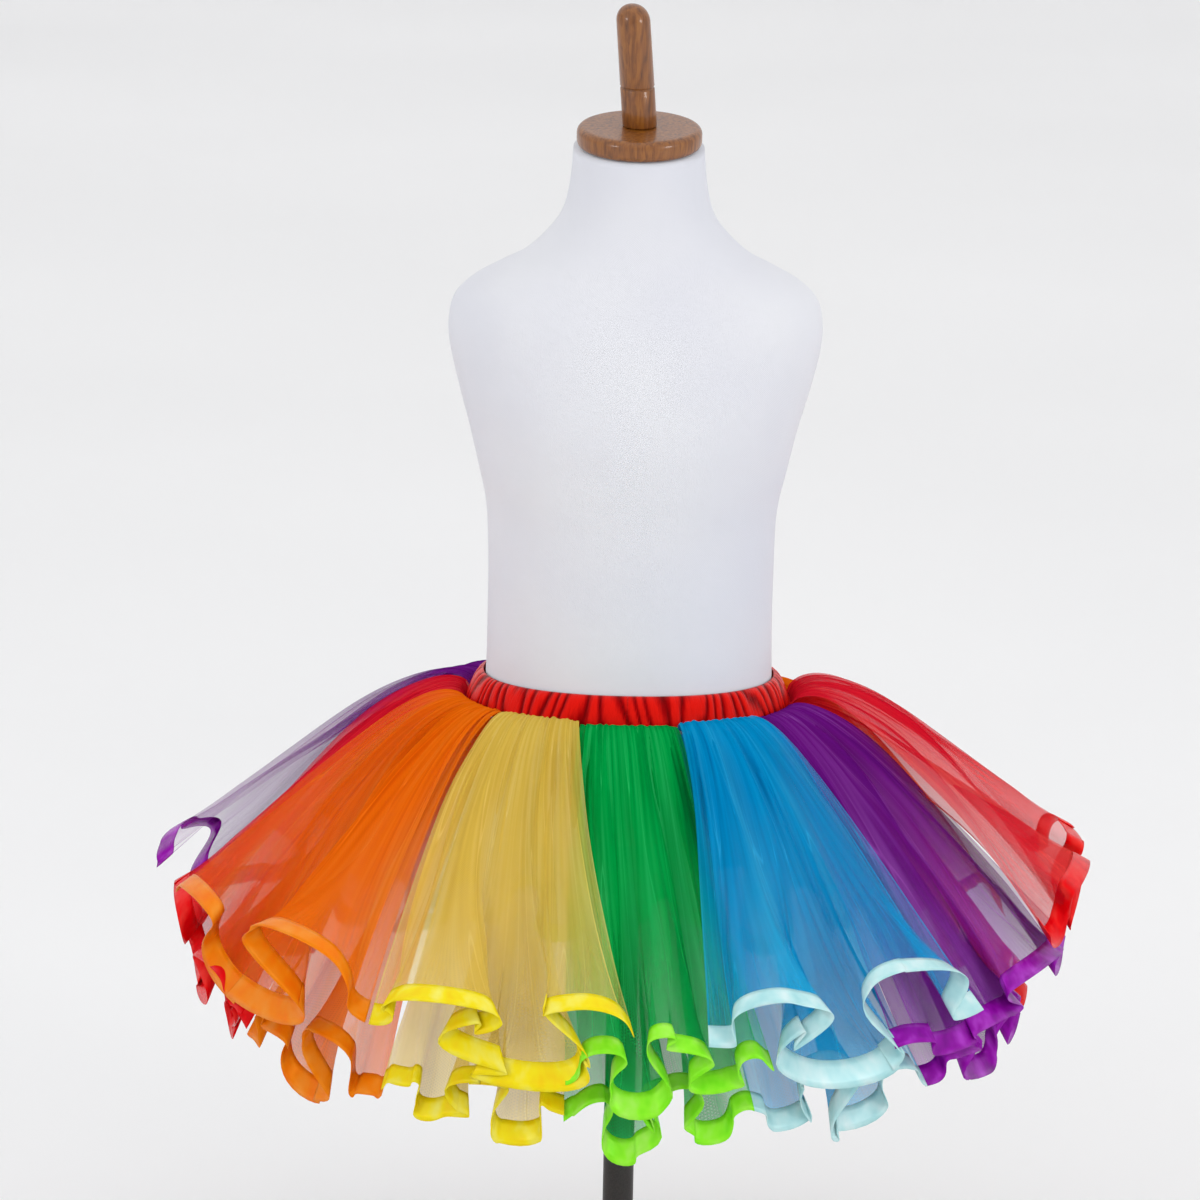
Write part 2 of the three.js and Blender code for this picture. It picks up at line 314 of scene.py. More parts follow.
def uneven_wave(luck: np.random.Generator, count: float, place: np.ndarray) -> np.ndarray:
    """Gives a wave whose crests differ in width and height, as gathers do.

    Args:
        luck: where its chance comes from.
        count: how many crests there are from 0 to 1.
        place: where to find it.

    Returns:
        Its height there, from -1 to 1.
    """
    a, b, c = luck.uniform(0, 2 * math.pi, 3)
    phase = 2 * math.pi * count * place + a
    phase = phase + 1.3 * np.sin(2 * math.pi * 0.37 * count * place + b)
    return np.sin(phase) * (0.65 + 0.35 * np.sin(2 * math.pi * 0.23 * count * place + c))


def run_lengths(points: np.ndarray, axis: int) -> np.ndarray:
    """Measures the lines of a grid.

    Args:
        points: rows by columns by 3.
        axis: 0 for the lengths down the columns, 1 for those along the rows.

    Returns:
        One length for each line.
    """
    return np.linalg.norm(np.diff(points, axis=axis), axis=-1).sum(axis=axis)


# ------------------------------------------------------------------------------------- finishes


class Hue(Enum):
    """The six colours of the net and its ribbons, as the nodes name them."""

    GREEN = "green"
    BLUE = "blue"
    PURPLE = "purple"
    RED = "red"
    ORANGE = "orange"
    YELLOW = "yellow"


@dataclass(frozen=True)
class NylonTulle:
    """Soft nylon tulle, warp knitted into six-sided holes and dyed: a matt, see-through haze.

    Its threads cover more of what is behind them where the net is gathered at the waist, and let
    most of it through at the hem.
    """

    hue: Hue
    deep: str  # painted shade in the valleys of the folds
    plain: str
    light: str  # painted highlight on the crests of the folds, and lighter towards the hem
    hole: float = 1.8 * MM  # the real holes are about 1.2 mm, drawn coarser so that they show
    through: float = 0.32  # the share of the light that threads pass on to their other side
    runs: tuple[float, float] = (12 * MM, 150 * MM)  # the width and length of bunched threads
    run_tone: float = 0.4  # how strongly the runs of threads show
    run_cover: float = 0.35  # how much more they cover, against their tone
    crease_pace: tuple[float, float, float] = (0.55, 0.5, 0.0)  # against the runs of threads
    crease_width: float = 0.012  # as a share of the slow noise's height
    painted_crease_highlight: float = 0.2  # how much lighter a crease is painted: a painted highlight along the fold
    crease_cover: float = 0.12  # how much more it covers
    edge_cover: float = 0.7  # how much the curled edge covers

    def make(self) -> bpy.types.Material:
        """Builds the net's material.

        Returns:
            The material.
        """
        made, tree, surface = new_material(f"nylon tulle {self.hue.value}")
        cover, tone, side = (
            add_node(tree, "Attribute", {"attribute_name": mark}, output="Fac")
            for mark in ("cover", "tone", "side")
        )
        cloth = add_node(tree, "UVMap", {"uv_map": "cloth"})
        x, y = (add_node(tree, "SeparateXYZ", inputs={0: cloth}, output=axis) for axis in "XY")

        # Runs of bunched threads along the fall of the cloth.
        across, down = (
            add_node(tree, "Math", {"operation": "MULTIPLY"}, {0: part, 1: 1 / run})
            for part, run in zip((x, y), self.runs)
        )
        place = add_node(tree, "CombineXYZ", inputs={0: across, 1: down})
        threads = add_node(
            tree, "TexNoise", {"noise_dimensions": "2D"},
            {"Vector": place, "Scale": 1.0, "Detail": 1.0, "Roughness": 0.6},
        )
        streak = add_node(
            tree, "Math", {"operation": "MULTIPLY_ADD"},
            {0: threads, 1: self.run_tone, 2: -self.run_tone / 2},
        )
        # The tone mark paints the folds: painted shade in their valleys, painted highlight on their
        # crests, and lighter towards the hem.
        streaked = add_node(tree, "Math", {"operation": "ADD"}, {0: tone, 1: streak})

        # Sharp creases wander down the cloth, a few centimetres apart: level lines of slow noise,
        # each painted lighter as a painted highlight along the fold.
        wide = add_node(
            tree, "VectorMath", {"operation": "MULTIPLY"}, {0: place, 1: self.crease_pace}
        )
        slow = add_node(
            tree, "TexNoise", {"noise_dimensions": "2D"},
            {"Vector": wide, "Scale": 1.0, "Detail": 0.0},
        )
        level = add_node(tree, "Math", {"operation": "SUBTRACT"}, {0: slow, 1: 0.5})
        near = add_node(tree, "Math", {"operation": "ABSOLUTE"}, {0: level})
        crease = add_node(
            tree, "MapRange",
            inputs={
                "Value": near, "From Min": 0.0, "From Max": self.crease_width, "To Min": 1.0,
                "To Max": 0.0,
            },
        )
        # Painted highlight: the colour is lighter along each crease.
        shade = add_node(
            tree, "Math", {"operation": "MULTIPLY_ADD"},
            {0: crease, 1: self.painted_crease_highlight, 2: streaked},
        )

        # Three waves at 60 degrees make the six-sided holes: highest in a hole, lowest on a thread.
        wave = 4 * math.pi / (math.sqrt(3) * self.hole)
        total = None
        for degrees in (0, 60, 120):
            turn = math.radians(degrees)
            first = add_node(
                tree, "Math", {"operation": "MULTIPLY"}, {0: x, 1: wave * math.cos(turn)}
            )
            phase = add_node(
                tree, "Math", {"operation": "MULTIPLY_ADD"},
                {0: y, 1: wave * math.sin(turn), 2: first},
            )
            ripple = add_node(tree, "Math", {"operation": "COSINE"}, {0: phase})
            if total is None:
                total = ripple
            else:
                total = add_node(tree, "Math", {"operation": "ADD"}, {0: total, 1: ripple})
        net = add_node(
            tree,
            "MapRange",
            inputs={
                "Value": total, "From Min": -1.5, "From Max": 3.0, "To Min": 1.07, "To Max": 0.86,
            },
        )

        # Runs of bunched threads cover more of what is behind them.
        plies = add_node(
            tree, "Math", {"operation": "MULTIPLY_ADD"}, {0: streak, 1: self.run_cover, 2: cover}
        )
        plies = add_node(
            tree, "Math", {"operation": "MULTIPLY_ADD"}, {0: crease, 1: self.crease_cover, 2: plies}
        )
        netted = add_node(tree, "Math", {"operation": "MULTIPLY"}, {0: plies, 1: net})

        # The cut edge curls under, so a thin line of double net runs down each side of the panel.
        middle = add_node(tree, "Math", {"operation": "SUBTRACT"}, {0: side, 1: 0.5})
        out = add_node(tree, "Math", {"operation": "ABSOLUTE"}, {0: middle})
        edge = add_node(
            tree,
            "MapRange",
            inputs={
                "Value": out, "From Min": 0.490, "From Max": 0.496, "To Min": 0.0,
                "To Max": self.edge_cover,
            },
        )
        solid = add_node(
            tree, "Math", {"operation": "MAXIMUM", "use_clamp": True}, {0: netted, 1: edge}
        )

        # The colour runs from painted shade in the fold valleys to painted highlight on the crests.
        colour = add_node(
            tree, "ValToRGB", inputs={"Fac": shade},
            ramp=[(0.12, self.deep), (0.85, self.light), (0.45, self.plain)],
        )
        threads_lit = add_node(
            tree, "BsdfPrincipled",
            inputs={"Base Color": colour, "Roughness": 0.7, "Specular IOR Level": 0.0},
        )
        glow = add_node(tree, "BsdfTranslucent", inputs={"Color": colour})
        lit = add_node(tree, "MixShader", inputs={0: self.through, 1: threads_lit, 2: glow})
        clear = add_node(tree, "BsdfTransparent")
        mixed = add_node(tree, "MixShader", inputs={0: solid, 1: clear, 2: lit})
        tree.links.new(mixed, surface)
        return made


@dataclass(frozen=True)
class SatinRibbon:
    """Polyester satin ribbon, woven with long floats: bright bands of shine across each bend."""

    hue: Hue
    deep: str
    plain: str
    light: str
    rib: float = 0.8 * MM  # the weave's fine ribs, drawn coarser than the real 0.2 mm
    through: float = 0.12  # the share of the light that passes through the weave
    clouding: float = 70.0  # faint clouds of tone to a metre

    def make(self) -> bpy.types.Material:
        """Builds the ribbon's material.

        Returns:
            The material.
        """
        made, tree, surface = new_material(f"polyester satin ribbon {self.hue.value}")
        cloth = add_node(tree, "UVMap", {"uv_map": "cloth"})
        x = add_node(tree, "SeparateXYZ", inputs={0: cloth}, output="X")
        along = add_node(tree, "Math", {"operation": "MULTIPLY"}, {0: x, 1: 2 * math.pi / self.rib})
        ribs = add_node(tree, "Math", {"operation": "SINE"}, {0: along})
        clouds = add_node(
            tree, "TexNoise", {"noise_dimensions": "2D"},
            {"Vector": cloth, "Scale": self.clouding, "Detail": 2.0},
        )
        colour = add_node(
            tree, "ValToRGB", inputs={"Fac": clouds},
            ramp=[(0.1, self.deep), (0.95, self.light), (0.5, self.plain)],
        )
        bump = add_node(
            tree, "Bump", inputs={"Strength": 0.25, "Distance": 0.05 * MM, "Height": ribs}
        )
        satin = add_node(
            tree,
            "BsdfPrincipled",
            inputs={
                "Base Color": colour, "Roughness": 0.26, "Specular IOR Level": 0.7,
                "Specular Tint": linear(self.light), "Anisotropic": 0.4, "Normal": bump,
            },
        )
        glow = add_node(tree, "BsdfTranslucent", inputs={"Color": colour})
        mixed = add_node(tree, "MixShader", inputs={0: self.through, 1: satin, 2: glow})
        tree.links.new(mixed, surface)
        return made


@dataclass(frozen=True)
class WaistSatin:
    """Red polyester satin gathered on elastic: glossy, with painted shade in the valleys between the
    gathers and painted highlight on their crests.
    """

    # deep: painted shade in the valleys of the gathers
    deep: str = "#6E0408"
    plain: str = "#A20408"
    light: str = "#E01A12"  # painted highlight on the crests of the gathers
    puckers: tuple[float, float] = (2.4 * MM, 14 * MM)  # the width and height of the fine folds
    painted_pucker_shade: float = 0.6  # how strongly the fine folds are painted darker and lighter: painted shade and painted highlight

    def make(self) -> bpy.types.Material:
        """Builds the satin of the waistband.

        Returns:
            The material.
        """
        made, tree, surface = new_material("polyester satin waistband red")
        crease = add_node(tree, "Attribute", {"attribute_name": "crease"}, output="Fac")
        cloth = add_node(tree, "UVMap", {"uv_map": "cloth"})
        x, y = (add_node(tree, "SeparateXYZ", inputs={0: cloth}, output=axis) for axis in "XY")
        across, down = (
            add_node(tree, "Math", {"operation": "MULTIPLY"}, {0: part, 1: 1 / run})
            for part, run in zip((x, y), self.puckers)
        )
        place = add_node(tree, "CombineXYZ", inputs={0: across, 1: down})
        folds = add_node(
            tree, "TexNoise", {"noise_dimensions": "2D"},
            {"Vector": place, "Scale": 1.0, "Detail": 3.0, "Roughness": 0.6},
        )
        # The fine folds' height paints their colour: painted shade in their hollows, painted
        # highlight on their tops.
        tone = add_node(
            tree, "Math", {"operation": "MULTIPLY_ADD"},
            {0: folds, 1: self.painted_pucker_shade, 2: -self.painted_pucker_shade / 2},
        )
        # The crease mark paints the gathers: painted shade in their valleys, painted highlight on
        # their crests.
        shade = add_node(tree, "Math", {"operation": "ADD"}, {0: crease, 1: tone})
        colour = add_node(
            tree, "ValToRGB", inputs={"Fac": shade},
            ramp=[(0.1, self.deep), (0.95, self.light), (0.5, self.plain)],
        )
        bump = add_node(
            tree, "Bump", inputs={"Strength": 0.8, "Distance": 0.7 * MM, "Height": folds}
        )
        satin = add_node(
            tree,
            "BsdfPrincipled",
            inputs={
                "Base Color": colour, "Roughness": 0.3, "Specular IOR Level": 0.6,
                "Specular Tint": linear(self.light), "Normal": bump,
            },
        )
        tree.links.new(satin, surface)
        return made


@dataclass(frozen=True)
class CottonJersey:
    """White cotton jersey pulled tight over the form: matt, with a fine knit and a cool cast."""

    shade: str = "#D9DBE4"
    plain: str = "#DEDFE6"
    light: str = "#E3E4E9"
    wale: float = 1.6 * MM  # the columns of stitches, really 0.8 mm apart, drawn coarser
    clouding: float = 7.0  # faint clouds of tone to a metre

    def make(self) -> bpy.types.Material:
        """Builds the jersey of the form.

        Returns:
            The material.
        """
        made, tree, surface = new_material("cotton jersey white")
        spot = add_node(tree, "TexCoord", output="Object")
        cloth = add_node(tree, "UVMap", {"uv_map": "cloth"})
        x, y = (add_node(tree, "SeparateXYZ", inputs={0: cloth}, output=axis) for axis in "XY")
        wave = 2 * math.pi / self.wale
        stitches = []
        for axis, share in ((x, 1.0), (y, 1.3)):
            phase = add_node(tree, "Math", {"operation": "MULTIPLY"}, {0: axis, 1: wave * share})
            stitches.append(add_node(tree, "Math", {"operation": "SINE"}, {0: phase}))
        knit = add_node(tree, "Math", {"operation": "MULTIPLY"}, {0: stitches[0], 1: stitches[1]})
        clouds = add_node(
            tree, "TexNoise", inputs={"Vector": spot, "Scale": self.clouding, "Detail": 2.0}
        )
        colour = add_node(
            tree, "ValToRGB", inputs={"Fac": clouds},
            ramp=[(0.3, self.shade), (0.72, self.light), (0.5, self.plain)],
        )
        bump = add_node(
            tree, "Bump", inputs={"Strength": 0.35, "Distance": 0.15 * MM, "Height": knit}
        )
        jersey = add_node(
            tree,
            "BsdfPrincipled",
            inputs={
                "Base Color": colour, "Roughness": 0.85, "Specular IOR Level": 0.25,
                "Sheen Weight": 0.2, "Sheen Roughness": 0.5, "Normal": bump,
            },
        )
        tree.links.new(jersey, surface)
        return made


@dataclass(frozen=True)
class VarnishedBeech:
    """Turned beech under amber varnish: warm brown, fine grain, and small hard highlights."""

    dark: str = "#5C3006"
    plain: str = "#824A10"
    light: str = "#9A601C"
    grain: float = 2.5 * MM  # the width of the grain's bands

    def make(self) -> bpy.types.Material:
        """Builds the varnished wood.

        Returns:
            The material.
        """
        made, tree, surface = new_material("varnished beech")
        spot = add_node(tree, "TexCoord", output="Object")
        stretched = add_node(
            tree, "Mapping",
            inputs={"Vector": spot, "Scale": (1 / self.grain, 1 / self.grain, 0.09 / self.grain)},
        )
        grain = add_node(
            tree, "TexNoise",
            inputs={"Vector": stretched, "Scale": 1.0, "Detail": 4.0, "Distortion": 0.6},
        )
        colour = add_node(
            tree, "ValToRGB", inputs={"Fac": grain},
            ramp=[(0.28, self.dark), (0.75, self.light), (0.5, self.plain)],
        )
        bump = add_node(
            tree, "Bump", inputs={"Strength": 0.1, "Distance": 0.2 * MM, "Height": grain}
        )
        wood = add_node(
            tree,
            "BsdfPrincipled",
            inputs={
                "Base Color": colour, "Roughness": 0.4, "Coat Weight": 0.45, "Coat Roughness": 0.08,
                "Normal": bump,
            },
        )
        tree.links.new(wood, surface)
        return made


@dataclass(frozen=True)
class PowderCoatedSteel:
    """Dark powder-coated steel: nearly black and warm, with a soft broad shine and a fine grit."""

    plain: str = "#2C2927"
    light: str = "#3A3633"
    grit: float = 1.2 * MM  # the powder's grain, really about 0.2 mm, drawn coarser

    def make(self) -> bpy.types.Material:
        """Builds the coated steel of the stand.

        Returns:
            The material.
        """
        made, tree, surface = new_material("powder coated steel dark")
        spot = add_node(tree, "TexCoord", output="Object")
        grit = add_node(
            tree, "TexNoise", inputs={"Vector": spot, "Scale": 1 / self.grit, "Detail": 2.0}
        )
        colour = add_node(
            tree, "ValToRGB", inputs={"Fac": grit}, ramp=[(0.35, self.plain), (0.75, self.light)]
        )
        bump = add_node(
            tree, "Bump", inputs={"Strength": 0.25, "Distance": 0.1 * MM, "Height": grit}
        )
        steel = add_node(
            tree, "BsdfPrincipled",
            inputs={"Base Color": colour, "Roughness": 0.42, "Metallic": 0.3, "Normal": bump},
        )
        tree.links.new(steel, surface)
        return made


@dataclass(frozen=True)
class StudioPaper:
    """Matt seamless paper of the studio floor: pale and even."""

    plain: str = "#F2F2F3"
    light: str = "#F6F6F7"
    clouding: float = 0.6  # faint clouds of tone to a metre

    def make(self) -> bpy.types.Material:
        """Builds the paper.

        Returns:
            The material.
        """
        made, tree, surface = new_material("matt seamless paper")
        spot = add_node(tree, "TexCoord", output="Object")
        clouds = add_node(tree, "TexNoise", inputs={"Vector": spot, "Scale": self.clouding})
        colour = add_node(
            tree, "ValToRGB", inputs={"Fac": clouds}, ramp=[(0.3, self.plain), (0.7, self.light)]
        )
        paper = add_node(
            tree, "BsdfPrincipled",
            inputs={"Base Color": colour, "Roughness": 0.95, "Specular IOR Level": 0.1},
        )
        tree.links.new(paper, surface)
        return made


NETS = {  # painted shade in the valleys of the folds, plain, and painted highlight on the crests
    Hue.GREEN: ("#007A38", "#00B450", "#3CDC80"),
    Hue.BLUE: ("#0078B8", "#00A6E2", "#38C6F6"),
    Hue.PURPLE: ("#480068", "#7A1890", "#A856C0"),
    Hue.RED: ("#C4062A", "#EC1C34", "#FF6058"),
    Hue.ORANGE: ("#E85600", "#FF7C0C", "#FF9C3C"),
    Hue.YELLOW: ("#DCB440", "#F2D25C", "#FCE894"),
}
RIBBONS = {
    Hue.GREEN: ("#70F000", "#98FF30", "#C4FF78"),
    Hue.BLUE: ("#98DCE2", "#C2F0F2", "#ECFFFF"),
    Hue.PURPLE: ("#6A0078", "#9A10AC", "#C84CE0"),
    Hue.RED: ("#D00010", "#F80814", "#FF4A40"),
    Hue.ORANGE: ("#FF6E00", "#FF8A0C", "#FFA23C"),
    Hue.YELLOW: ("#FCD000", "#FFEA10", "#FFFA80"),
}


# ---------------------------------------------------------------------------------- the tutu


@dataclass(frozen=True)
class Level:
    """How a panel falls: all distances in metres."""

    reach: float  # how much further out the hem is than the waist edge
    drop: float  # how far the hem is below the waist edge
    lift: float  # how far the middle stands above the straight line
    start_out: float = 6.4 * MM  # out from the seam oval
    start_up: float = -13.4 * MM  # up from the waist


TOP = Level(212 * MM, 130 * MM, 37 * MM)
BACK = Level(222 * MM, 134 * MM, 32 * MM)
MIDDLE = Level(204 * MM, 164 * MM, 32 * MM)
LOW = Level(196 * MM, 192 * MM, 27 * MM)
INNER = Level(176 * MM, 230 * MM, 20 * MM, 4.0 * MM, -17.0 * MM)


@dataclass(frozen=True)
class Panel:
    """One panel of net: where it hangs, and the waves of its hem."""

    number: int
    hue: Hue
    waist: float  # degrees from the front at the waist
    hem: float  # degrees from the front at the hem
    span: float  # degrees of the hem
    left: Level
    right: Level
    swing: float  # half the height of a wave at the hem
    curl: float  # how far a wave leans over itself, as a share of its length
    turn: float  # where the first wave starts, as a share of a wave
    folds: float  # how many waves the hem has
    skew: float = 0.0  # above 0 the waves are narrower on the left
    # How well this panel's net covers at its left and right edges, against the others.
    sheer: tuple[float, float] = (1.0, 1.0)
    # How much less the second ply puffs out at those edges than the first.
    slack: tuple[float, float] = (0.0, 0.0)

    @property
    def tag(self) -> str:
        """The end of the names of its nodes."""
        return f"{self.number:02d}_{self.hue.value}"


OUTER_PANELS = [
    Panel(1, Hue.GREEN, 0, 7, 31, LOW, LOW, 22 * MM, 0.18, 0.82, 2.6, 0.0),
    Panel(2, Hue.BLUE, 30, 34, 43, MIDDLE, MIDDLE, 36 * MM, 0.21, 0.81, 1.92, 0.1, (0.95, 0.6)),
    Panel(3, Hue.PURPLE, 60, 64, 46, LOW, MIDDLE, 15 * MM, 0.1, 0.3, 1.6, -0.2),
    Panel(
        4, Hue.RED, 90, 90, 43, TOP, TOP, 38 * MM, 0.18, 0.62, 2.1, 0.2, (1.0, 0.6), (22 * MM, 0.0),
    ),
    Panel(5, Hue.ORANGE, 120, 128, 33, LOW, LOW, 15 * MM, 0.12, 0.0, 2.2, -0.2),
    Panel(6, Hue.YELLOW, 150, 155, 36, MIDDLE, MIDDLE, 27 * MM, 0.18, 0.3, 1.9, 0.2),
    Panel(7, Hue.GREEN, 180, 181, 38, LOW, LOW, 24 * MM, 0.16, 0.6, 2.3, 0.0),
    Panel(8, Hue.BLUE, 210, 209, 38, MIDDLE, LOW, 30 * MM, 0.16, 0.1, 2.0, -0.2),
    Panel(
        9, Hue.PURPLE, 240, 249, 42, MIDDLE, BACK, 36 * MM, 0.18, 0.21, 1.3, 0.0,
        (1.0, 0.3), (0.0, 14 * MM),
    ),
    Panel(10, Hue.RED, 270, 277, 42, MIDDLE, LOW, 24 * MM, 0.16, 0.3, 2.3, 0.2, (0.8, 1.1)),
    Panel(
        11, Hue.ORANGE, 300, 303, 38, TOP, MIDDLE, 37 * MM, 0.2, 0.1, 1.5, 0.0,
        (0.4, 1.05), (12 * MM, 0.0),
    ),
    Panel(12, Hue.YELLOW, 330, 342, 39, MIDDLE, MIDDLE, 38 * MM, 0.22, 0.84, 1.56, 0.1, (0.9, 0.7)),
]


class Ply(Enum):
    """The plies of net at each panel, from the outside in."""

    OUTER = "outer"
    SECOND = "second"
    INNER = "inner"


@dataclass
class Skirt:
    """The twelve double panels of net and their ribbons."""

    seam_span: float = 29.2  # degrees that a panel takes at the waist
    inner_span: float = 29.0
    inner_turn: float = 6.0  # how far the inner hem is turned from the outer
    inner_swing: float = 24 * MM
    inner_curl: float = 0.15
    inner_folds: float = 2.2
    inner_step: float = 0.37  # of a wave, from one inner panel to the next
    side_rise: float = 18 * MM  # how much less the inner panels drop at the sides
    inner_lap: float = 0.02  # how far an inner panel's soft edges lap its neighbours'
    edge_swing: float = 7 * MM  # the waves' half height at a panel's side edges
    fold_lean: float = 0.25  # how much a wave also moves out
    uneven: float = 0.35  # how much one wave's depth differs from the next
    puff_power: float = 0.6
    fold_growth: float = 3.0  # how late on the way down the waves grow
    more_curl: float = 0.11  # how much further the soft waves lean at the hem than the solids'
    loop: float = 7 * MM  # half the height of the small loops between the waves
    # Two sets of loops: how many there are to a wave, and their share of the height.
    loops: tuple[tuple[float, float], ...] = ((1.9, 0.55), (3.1, 0.45))
    loop_growth: float = 4.5
    loop_curl: float = 0.16
    ribbon_width: float = 13 * MM
    ribbon_half: float = 0.35 * MM  # half the ribbon's thickness
    ribbon_end: float = 1.002  # of the fall, so that the ribbon wraps the net's cut edge
    second_under: float = 3.5 * MM  # how far the second ply lies under the first
    flat_from: float = 0.945  # the share of the fall where the ribbon starts and the cloth is flat
    flat_over: float = 0.14  # the share of the fall over which the creases die out above it
    gather: float = 1.3 * MM  # half the height of the fine gathers
    gathers: tuple[float, float] = (12, 9)  # on a panel, at the waist and further down
    pleat: float = 4.5 * MM  # half the height of the soft pleats between waist and hem
    pleats: tuple[float, float] = (5.5, 3.1)  # on a panel, all the way down and away from the waist
    # How much of what is behind it one ply covers, at places from the waist (0) to the hem (1).
    cover_down: tuple[tuple[float, float], ...] = (
        (0.0, 0.98), (0.1, 0.94), (0.3, 0.85), (0.6, 0.7), (0.82, 0.54), (1.0, 0.4)
    )
    edge_thin: float = 0.12  # how much less a panel covers at its side edges
    valley_dense: float = 0.14  # how much more the net covers in a valley than on a crest
    inner_dense: float = 0.26  # nothing lies behind the inner net at its hem, so it shows denser
    nets: dict[Hue, bpy.types.Material] = field(default_factory=dict)
    ribbons: dict[Hue, bpy.types.Material] = field(default_factory=dict)
    columns: dict[Ply, int] = field(
        default_factory=lambda: {Ply.OUTER: 201, Ply.SECOND: 161, Ply.INNER: 141}
    )
    rows: dict[Ply, int] = field(
        default_factory=lambda: {Ply.OUTER: 45, Ply.SECOND: 33, Ply.INNER: 33}
    )

    def settled(self, panel: Panel, ply: Ply) -> Panel:
        """Gives the panel as it hangs in this ply.

        Args:
            panel: the outer panel.
            ply: which ply.

        Returns:
            The same panel for the first ply, a slacker one for the second, and the calmer inner
            one for the third.
        """
        if ply is Ply.OUTER:
            return panel
        if ply is Ply.SECOND:
            left, right = (
                replace(level, lift=level.lift - less)
                for level, less in zip((panel.left, panel.right), panel.slack)
            )
            return replace(panel, left=left, right=right)
        hem = panel.waist + self.inner_turn
        left, right = (
            replace(INNER, drop=INNER.drop - self.side_rise * math.sin(math.radians(edge)) ** 2)
            for edge in (hem - self.inner_span / 2, hem + self.inner_span / 2)
        )
        return Panel(
            panel.number, panel.hue, panel.waist, hem, self.inner_span, left, right,
            self.inner_swing, self.inner_curl, self.inner_step * (panel.number - 1),
            self.inner_folds,
        )

    def form(self, panel: Panel, across: np.ndarray, fall: np.ndarray) -> np.ndarray:
        """Finds points of a panel's plain form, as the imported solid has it.

        Args:
            panel: the panel.
            across: 0 to 1 from its left edge to its right.
            fall: 0 to 1 from the waist to the hem.

        Returns:
            The points, with the same leading shape.
        """
        blend = {
            name: getattr(panel.left, name)
            + (getattr(panel.right, name) - getattr(panel.left, name)) * across
            for name in ("start_out", "start_up", "reach", "drop", "lift")
        }
        growth = fall**self.fold_growth
        place = across + panel.skew * across * (1 - across)
        phase = 2 * math.pi * (panel.folds * place + panel.turn)
        inside = np.sin(math.pi * across)
        curl = panel.curl + self.more_curl * growth
        over = curl * growth * inside / panel.folds * np.sin(2 * phase)
        span = self.seam_span + (panel.span - self.seam_span) * fall
        centre = panel.waist + (panel.hem - panel.waist) * fall
        point, out = oval(centre + span * (across - 0.5 - over), *SEAM)
        swing = panel.swing * (1 + self.uneven * np.sin(panel.waist + 5 * across))
        height = self.edge_swing + (swing - self.edge_swing) * inside
        wave = height * growth * np.sin(phase)
        puff = blend["lift"] * np.sin(math.pi * fall**self.puff_power)
        away = blend["start_out"] + blend["reach"] * fall + wave * self.fold_lean
        made = point + out * away[..., None]
        made[..., 2] += WAIST_UP + blend["start_up"] + puff - blend["drop"] * fall + wave
        return made

    def hang(self, panel: Panel, ply: Ply, across: np.ndarray, fall: np.ndarray) -> np.ndarray:
        """Adds the small uneven loops of the soft hem to a panel's plain form.

        Args:
            panel: the panel as it hangs in this ply.
            ply: which ply, where the second follows the first.
            across: 0 to 1 from its left edge to its right.
            fall: 0 to 1 from the waist to the hem.

        Returns:
            The points, with the same leading shape.
        """
        luck = np.random.default_rng(50 * panel.number + (7 if ply is Ply.INNER else 0))
        late = fall**self.loop_growth
        rise = np.zeros_like(across)
        shift = np.zeros_like(across)
        for times, share in self.loops:
            count = panel.folds * times
            wander = 0.9 * np.sin(2 * math.pi * (1.3 * across + luck.uniform(0, 1)))
            phase = 2 * math.pi * (count * across + luck.uniform(0, 1)) + wander
            rise += share * np.sin(phase)
            shift += share * np.sin(2 * phase) / count
        inside = np.sin(math.pi * across)
        points = self.form(panel, across - self.loop_curl * late * inside * shift, fall)
        points[..., 2] += self.loop * late * rise * (0.35 + 0.65 * inside)
        return points

    def freedom(self, fall: np.ndarray) -> np.ndarray:
        """Says how freely the net can crease: not at all under its ribbon."""
        return np.clip((self.flat_from - fall) / self.flat_over, 0, 1)

    def creases(
        self, panel: Panel, ply: Ply, across: np.ndarray, fall: np.ndarray
    ) -> tuple[np.ndarray, np.ndarray]:
        """Works out the fine gathers and the soft pleats.

        Args:
            panel: the panel.
            ply: which ply.
            across: 0 to 1 from its left edge to its right.
            fall: 0 to 1 from the waist to the hem.

        Returns:
            How far each point stands out, and how high it is on its fold from 0 to 1.
        """
        luck = np.random.default_rng(100 * panel.number + list(Ply).index(ply))
        place = across + 0.02 * np.sin(2 * math.pi * (1.5 * fall + luck.uniform(0, 1)))
        near = np.clip(1 - fall / 0.3, 0, 1) ** 1.5
        halfway = np.exp(-(((fall - 0.3) / 0.2) ** 2))
        fine = near * uneven_wave(luck, self.gathers[0], place)
        fine += 0.6 * halfway * uneven_wave(luck, self.gathers[1], place)
        soft = uneven_wave(luck, self.pleats[0], place) * (0.35 + 0.65 * halfway)
        soft += uneven_wave(luck, self.pleats[1], place) * np.clip(fall / 0.4, 0, 1)
        held = self.freedom(fall)
        free = np.clip(fall / 0.1, 0, 1)
        stand = self.gather * fine * (0.3 + 0.7 * free) * held
        stand += self.pleat * soft * np.sin(math.pi * np.clip(fall, 0, 1)) ** 0.8 * held
        crest = 0.5 + 0.5 * np.clip(0.55 * fine + 0.6 * soft, -1, 1)
        return stand, crest

